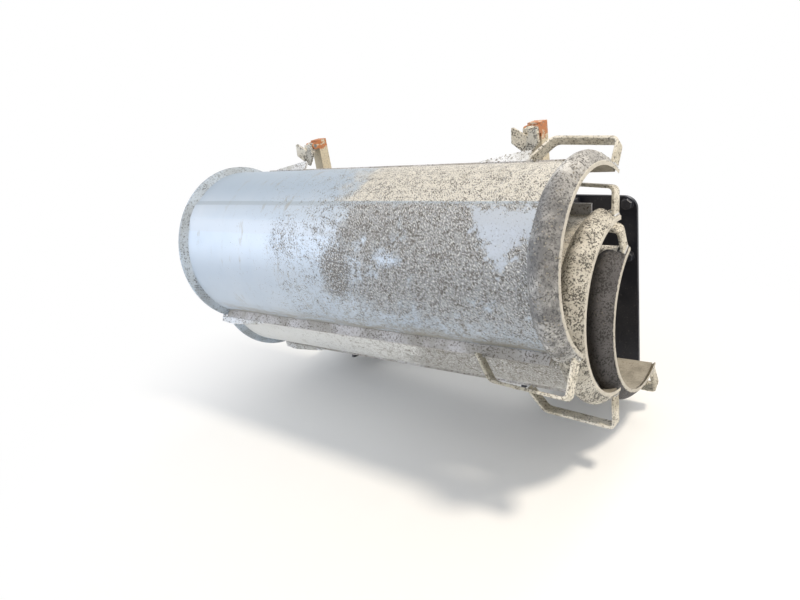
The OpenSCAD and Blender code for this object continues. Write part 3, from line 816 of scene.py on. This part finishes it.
# places across and up from the pin, for one wing: vee, ear's inner and outer corner, side, foot
WING = [(0.0, -0.010), (0.0320, 0.013), (0.0390, 0.013), (0.0415, -0.024), (0.0, -0.060)]
AROUND = [(0, 0), (1, 1), (1, 2), (1, 3), (0, 4), (-1, 3), (-1, 2), (-1, 1)]      # side and place


def wing_spot(side, i, depth):
    """Across, inward and up from the pin, at a depth behind the plate's outer face."""
    x, z = WING[i]
    if side == 0:
        return 0.0, depth / math.cos(CATCH_FOLD), z
    across = x * math.cos(CATCH_FOLD) + depth * math.sin(CATCH_FOLD)
    return side * across, depth * math.cos(CATCH_FOLD) - x * math.sin(CATCH_FOLD), z


def vee_mesh(pin):
    bm = bmesh.new()
    layers = []
    for depth in (0.0, -CATCH_T):
        spots = [wing_spot(side, i, depth) for side, i in AROUND]
        layers.append([bm.verts.new((pin[0] + x, pin[1] - CATCH_AHEAD + y, pin[2] + z)) for x, y, z in spots])
    for row in layers:
        bm.faces.new(row[:5])
        bm.faces.new(row[4:] + row[:1])
    near, deep = layers
    for i in range(len(AROUND)):
        j = (i + 1) % len(AROUND)
        bm.faces.new((near[i], near[j], deep[j], deep[i]))
    return closed_mesh(bm, "vee plate")


for end in ENDS:
    pin = [(a + b) / 2 for a, b in zip(*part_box("catch_pin_" + end))]
    o = piece("vee_plate_" + end, vee_mesh(pin), CATCH_MAT, "catch_" + end)
    bevelled(o, CATCH_EDGE)
    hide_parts("catch_plate_" + end)
    MADE["catch_plate_" + end] = o
    print(o.name, "on a pin at", [round(v, 3) for v in pin])

# %% [markdown]
# ## Bolts
# A hex bolt with a washer fills each of the eight holes of the hanger plates. Eight copies could
# be placed by hand, but a node tree that puts one bolt on each point of a mesh, with a random
# turn, is shorter and keeps them alike. The result is kept as a plain mesh for each plate.

# %% One bolt
WASHER = [(0.0165, 0.0), (0.017, -0.0005), (0.017, -0.0025), (0.0162, -0.003)]    # radius and y
HEAD = [(1, -0.003), (1, -0.0125), (0.9, -0.0142)]                                # share of size and y
FLAT_HALF, WASHER_SIDES, HEAD_TURN = 0.0135, 36, 0.3
HANGER_X, HOLE_X, HOLE_Z, PLATE_T = 0.425, 0.1, 0.075, 0.010


def ring_points(r, n, y, phase=0.0):
    angles = [phase + 2 * math.pi * i / n for i in range(n)]
    return [(r * math.cos(a), y, r * math.sin(a)) for a in angles]


def bolt_mesh():
    """An M18 bolt whose washer lies on y = 0, with its head towards -Y."""
    bm = bmesh.new()
    lathe(bm, [ring_points(r, WASHER_SIDES, y) for r, y in WASHER])
    corner = FLAT_HALF / math.cos(math.pi / 6)
    lathe(bm, [ring_points(corner * share, 6, y, HEAD_TURN) for share, y in HEAD])
    return closed_mesh(bm, "bolt")


# %% Node trees with named inputs
def new_group(name, sockets):
    """An empty geometry node tree with these inputs and one geometry output, and its two ends."""
    g = bpy.data.node_groups.new(name, "GeometryNodeTree")
    for label, kind in sockets:
        g.interface.new_socket(label, in_out="INPUT", socket_type="NodeSocket" + kind)
    g.interface.new_socket("Geometry", in_out="OUTPUT", socket_type="NodeSocketGeometry")
    return g, g.nodes.new("NodeGroupInput"), g.nodes.new("NodeGroupOutput")


def end_group(g, instances, start, end):
    """Makes the copies real and gives them the finish."""
    real = add(g, "GeometryNodeRealizeInstances", {"Geometry": instances})
    done = add(g, "GeometryNodeSetMaterial", {
        "Geometry": real.outputs[0], "Material": start.outputs["Finish"],
    })
    g.links.new(done.outputs[0], end.inputs[0])
    return g


# %% A bolt on each point
def instance_group(name):
    """Puts one object on each point of a mesh, with a random turn."""
    g, start, end = new_group(name, (
        ("Points", "Geometry"), ("Piece", "Object"), ("Finish", "Material"), ("Turn", "Float"),
    ))
    info = add(g, "GeometryNodeObjectInfo", {"Object": start.outputs["Piece"]})
    angle = add(g, "FunctionNodeRandomValue", {"Max": start.outputs["Turn"]}, data_type="FLOAT")
    spin = add(g, "ShaderNodeCombineXYZ", {"Y": angle.outputs["Value"]})
    inst = add(g, "GeometryNodeInstanceOnPoints", {
        "Points": start.outputs["Points"], "Instance": info.outputs["Geometry"], "Rotation": spin.outputs[0],
    })
    return end_group(g, inst.outputs["Instances"], start, end)


def baked(name, base, group, values, body):
    """Runs the node group on base and keeps the outcome as a plain mesh."""
    mod = base.modifiers.new("nodes", "NODES")
    mod.node_group = group
    ids = {s.name: s.identifier for s in group.interface.items_tree if s.in_out == "INPUT"}
    for label, value in values.items():
        mod[ids[label]] = value
    bpy.context.view_layer.update()
    mesh = bpy.data.meshes.new_from_object(base.evaluated_get(bpy.context.evaluated_depsgraph_get()))
    bpy.data.objects.remove(base)
    mesh.materials.clear()
    return piece(name, mesh, values["Finish"], body, smooth=False)


def linked(name, mesh):
    o = bpy.data.objects.new(name, mesh)
    bpy.context.collection.objects.link(o)
    return o


# %% Bolts in the hanger plates
bolt = linked("bolt_model", bolt_mesh())
for end, x0 in zip(ENDS, (HANGER_X, -HANGER_X)):
    points = bpy.data.meshes.new("bolt points")
    holes = [(x0 + x, -PLATE_T, z) for x in (-HOLE_X, HOLE_X) for z in (-HOLE_Z, HOLE_Z)]
    points.from_pydata(holes, [], [])
    o = baked("hanger_bolts_" + end, linked("bolt_points", points), instance_group("bolts on points"),
              {"Piece": bolt, "Finish": BOLT_MAT, "Turn": 1.0}, "rack")
    print(o.name, len(o.data.vertices), "vertices")
bpy.data.objects.remove(bolt)

# %% [markdown]
# ## Weld beads
# Arms, ribs, handles and lugs are welded on by hand, and a bead is a row of overlapping drops.
# A smooth tube would look glued. Each run is stepped by about half a bead's radius, and every
# third ring swells a little, with a small random change whose seed is the piece's name.

# %% Weld beads
BEAD_STEP, BEAD_SIDES, BEAD_END = 0.55, 8, 0.4


def bead_rings(run, r, rng):
    """Rings of points along one run, rippled and drawn in at both ends."""
    run = [Vector(p) for p in run]
    spots = []
    for a, b in zip(run, run[1:]):
        n = max(2, int((b - a).length / (r * BEAD_STEP)))
        spots += [a.lerp(b, i / n) for i in range(n)]
    spots.append(run[-1])
    rows, last = [], len(spots) - 1
    for i, p in enumerate(spots):
        d = (spots[min(i + 1, last)] - spots[max(i - 1, 0)]).normalized()
        side = d.orthogonal().normalized()
        other = d.cross(side)
        ripple = 0.86 + 0.16 * (i % 3 == 0) + rng.uniform(-0.07, 0.07)
        size = r * ripple * (BEAD_END if i in (0, last) else 1)
        turns = [2 * math.pi * j / BEAD_SIDES for j in range(BEAD_SIDES)]
        rows.append([p + (side * math.cos(a) + other * math.sin(a)) * size for a in turns])
    return rows


def weld(name, runs, r, mat, body):
    """Rippled beads along straight or bent runs of points."""
    bm = bmesh.new()
    rng = random.Random(name)
    for run in runs:
        lathe(bm, bead_rings(run, r, rng))
    return piece(name, closed_mesh(bm, name), mat, body)


# %% Welds of the rack
RACK_BEAD, ARM_SEAM_Y, RIB_SEAM_Y, RIB_SEAM = 0.0035, -0.0105, -0.0115, 0.060
for end in ENDS:
    arm, rib, post = [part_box(part + end) for part in ("post_arm_", "cradle_rib_", "post_")]
    (x0, _, z0), (x1, _, z1) = arm
    corners = [(x0, z0), (x1, z0), (x1, z1), (x0, z1), (x0, z0)]
    runs = [[(x, ARM_SEAM_Y, z) for x, z in corners]]
    low = rib[0][2]
    for x in (rib[0][0], rib[1][0]):
        runs.append([(x, RIB_SEAM_Y, low + 0.002), (x, RIB_SEAM_Y, low + RIB_SEAM)])
    runs.append([(x, post[1][1] + 0.001, z1) for x in (x0 + 0.004, x1 - 0.004)])
    weld("rack_welds_" + end, runs, RACK_BEAD, RACK_MAT, "rack")
print("rack welds on", len(ENDS), "ends")

# %% Welds of the chutes
CHUTE_BEAD, ON_TOP, OFF_LIP = 0.0026, 0.001, 0.0012
LIP_SEAMS, POST_WIDTH = (0.0042, 0.0120), (0.001, 0.008, 0.016, 0.024, 0.031)
PLATE_SIDES = (0.0005, FLANGE_T - 0.0005)
# which rim, and where the seam of each lug starts and ends behind the lip
LUG_SEAMS = [(1, 0.226, 0.356), (1, 1.023, 1.153), (-1, 1.012, 1.186)]


def chute_welds(k):
    """Runs across the handles' posts on the lip, at their feet and along the lugs."""
    runs = []
    for rim in (1, -1):
        for s in LIP_SEAMS:
            r = crown_r(s) + OFF_LIP
            runs.append([(u, rim * math.sqrt(r * r - u * u), s) for u in POST_WIDTH])
    for rim, path in ((1, UPPER_PATH), (-1, LOWER_PATH)):
        foot = path[0][1] - 0.006
        for u in PLATE_SIDES:
            runs.append([(u, rim * (edge_v(foot) + ON_TOP), s) for s in (foot - 0.004, foot + 0.016)])
    for rim, start, end in LUG_SEAMS:
        for u in PLATE_SIDES:
            runs.append([(u, rim * edge_v(s), s) for s in (start, end)])
    return [[PLACE[k] @ Vector(p) for p in run] for run in runs]


for k, chute in enumerate(CHUTES):
    weld(chute + "_welds", chute_welds(k), CHUTE_BEAD, LUG_MAT, "chute_" + chute)

# %% [markdown]
# ## Dried concrete
# Small lumps sit where concrete splashes: on the front collars, the handles, the lugs and the
# catches. A displaced surface would swell evenly. Instead points are scattered over a copy of
# those pieces, thicker in some places than in others, and each point gets one rough lump of a
# random size of up to 5 mm across.


# %% One lump, and the tree that scatters it
def crumb_mesh():
    bm = bmesh.new()
    bmesh.ops.create_icosphere(bm, subdivisions=1, radius=1.0)
    rng = random.Random(5)
    for v in bm.verts:
        v.co *= rng.uniform(0.7, 1.1)
        v.co.z *= 0.6
    return mesh_of(bm, "crumb")


def scatter_group():
    """Scatters lumps over a mesh in patches."""
    g, start, end = new_group("concrete lumps", (
        ("Surface", "Geometry"), ("Lump", "Object"), ("Finish", "Material"), ("Density", "Float"),
        ("Patch Size", "Float"), ("Smallest", "Float"), ("Largest", "Float"), ("Seed", "Int"),
    ))
    patch = add(g, "ShaderNodeTexNoise", {"Scale": start.outputs["Patch Size"], "Detail": 3.0})
    some = add(g, "ShaderNodeMapRange", {"Value": patch.outputs[0], "From Min": 0.45, "From Max": 0.62})
    thick = add(g, "ShaderNodeMath", {0: some.outputs[0], 1: start.outputs["Density"]}, operation="MULTIPLY")
    scatter = add(g, "GeometryNodeDistributePointsOnFaces", {
        "Mesh": start.outputs["Surface"], "Density": thick.outputs[0], "Seed": start.outputs["Seed"],
    })
    size = add(g, "FunctionNodeRandomValue", {
        "Min": start.outputs["Smallest"], "Max": start.outputs["Largest"], "Seed": start.outputs["Seed"],
    }, data_type="FLOAT")
    info = add(g, "GeometryNodeObjectInfo", {"Object": start.outputs["Lump"]})
    inst = add(g, "GeometryNodeInstanceOnPoints", {
        "Points": scatter.outputs["Points"], "Instance": info.outputs["Geometry"],
        "Rotation": scatter.outputs["Rotation"], "Scale": size.outputs["Value"],
    })
    return end_group(g, inst.outputs["Instances"], start, end)


def gathered(names):
    """One mesh from copies of these solids, or of the pieces that stand for them."""
    bm = bmesh.new()
    for n in names:
        bm.from_mesh((MADE.get(n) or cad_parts[n]).data)
    return linked("surface", mesh_of(bm, "surface"))


def keep_inside(o, margin=0.0005):
    """Pushes points that stand out of the part's box back to it."""
    lo, hi = cad_box
    for v in o.data.vertices:
        for a in range(3):
            v.co[a] = min(max(v.co[a], lo[a] + margin), hi[a] - margin)


# %% Lumps on the chutes and catches
crumb = linked("crumb_model", crumb_mesh())
lumps = scatter_group()
CRUMB_MAT = [
    spattered_metal("dried concrete, pale", "a9a598", "99948a", "6b665e", cover=0.4, seed=15.0),
    spattered_metal("dried concrete, brown-grey", "9d9687", "8a8375", "5b564e", cover=0.5, seed=16.0),
    spattered_metal("dried concrete, dark", "78746e", "6a665f", "45423e", cover=0.6, seed=17.0),
]


def lumps_on(name, solids, finish, density, patch, largest, seed, body):
    """Lumps of 0.8 mm radius and up, with so many to the square metre where they are thickest."""
    o = baked(name, gathered(solids), lumps, {
        "Lump": crumb, "Finish": finish, "Density": density, "Patch Size": patch,
        "Smallest": 0.0008, "Largest": largest, "Seed": seed,
    }, body)
    keep_inside(o)
    print(o.name, len(o.data.polygons), "faces")


for k, chute in enumerate(CHUTES):
    splashed = [chute + part for part in ("_front_collar", "_upper_handle", "_lower_handle", "_ramp_lugs")]
    lumps_on(chute + "_concrete_lumps", splashed, CRUMB_MAT[k], 9000.0, 14.0, 0.0024, 11 + k,
             "chute_" + chute)
for end in ENDS:
    lumps_on("catch_concrete_lumps_" + end, ["catch_plate_" + end], CRUMB_MAT[1], 20000.0, 25.0, 0.0022, 31,
             "catch_" + end)
bpy.data.objects.remove(crumb)

# %% [markdown]
# ## View
# The Standard view shows a colour about as it is written, so the finishes can be judged against
# the photograph. Nothing that was added may make the object bigger than its solids.

# %% Render settings
bpy.context.scene.view_settings.view_transform = "Standard"
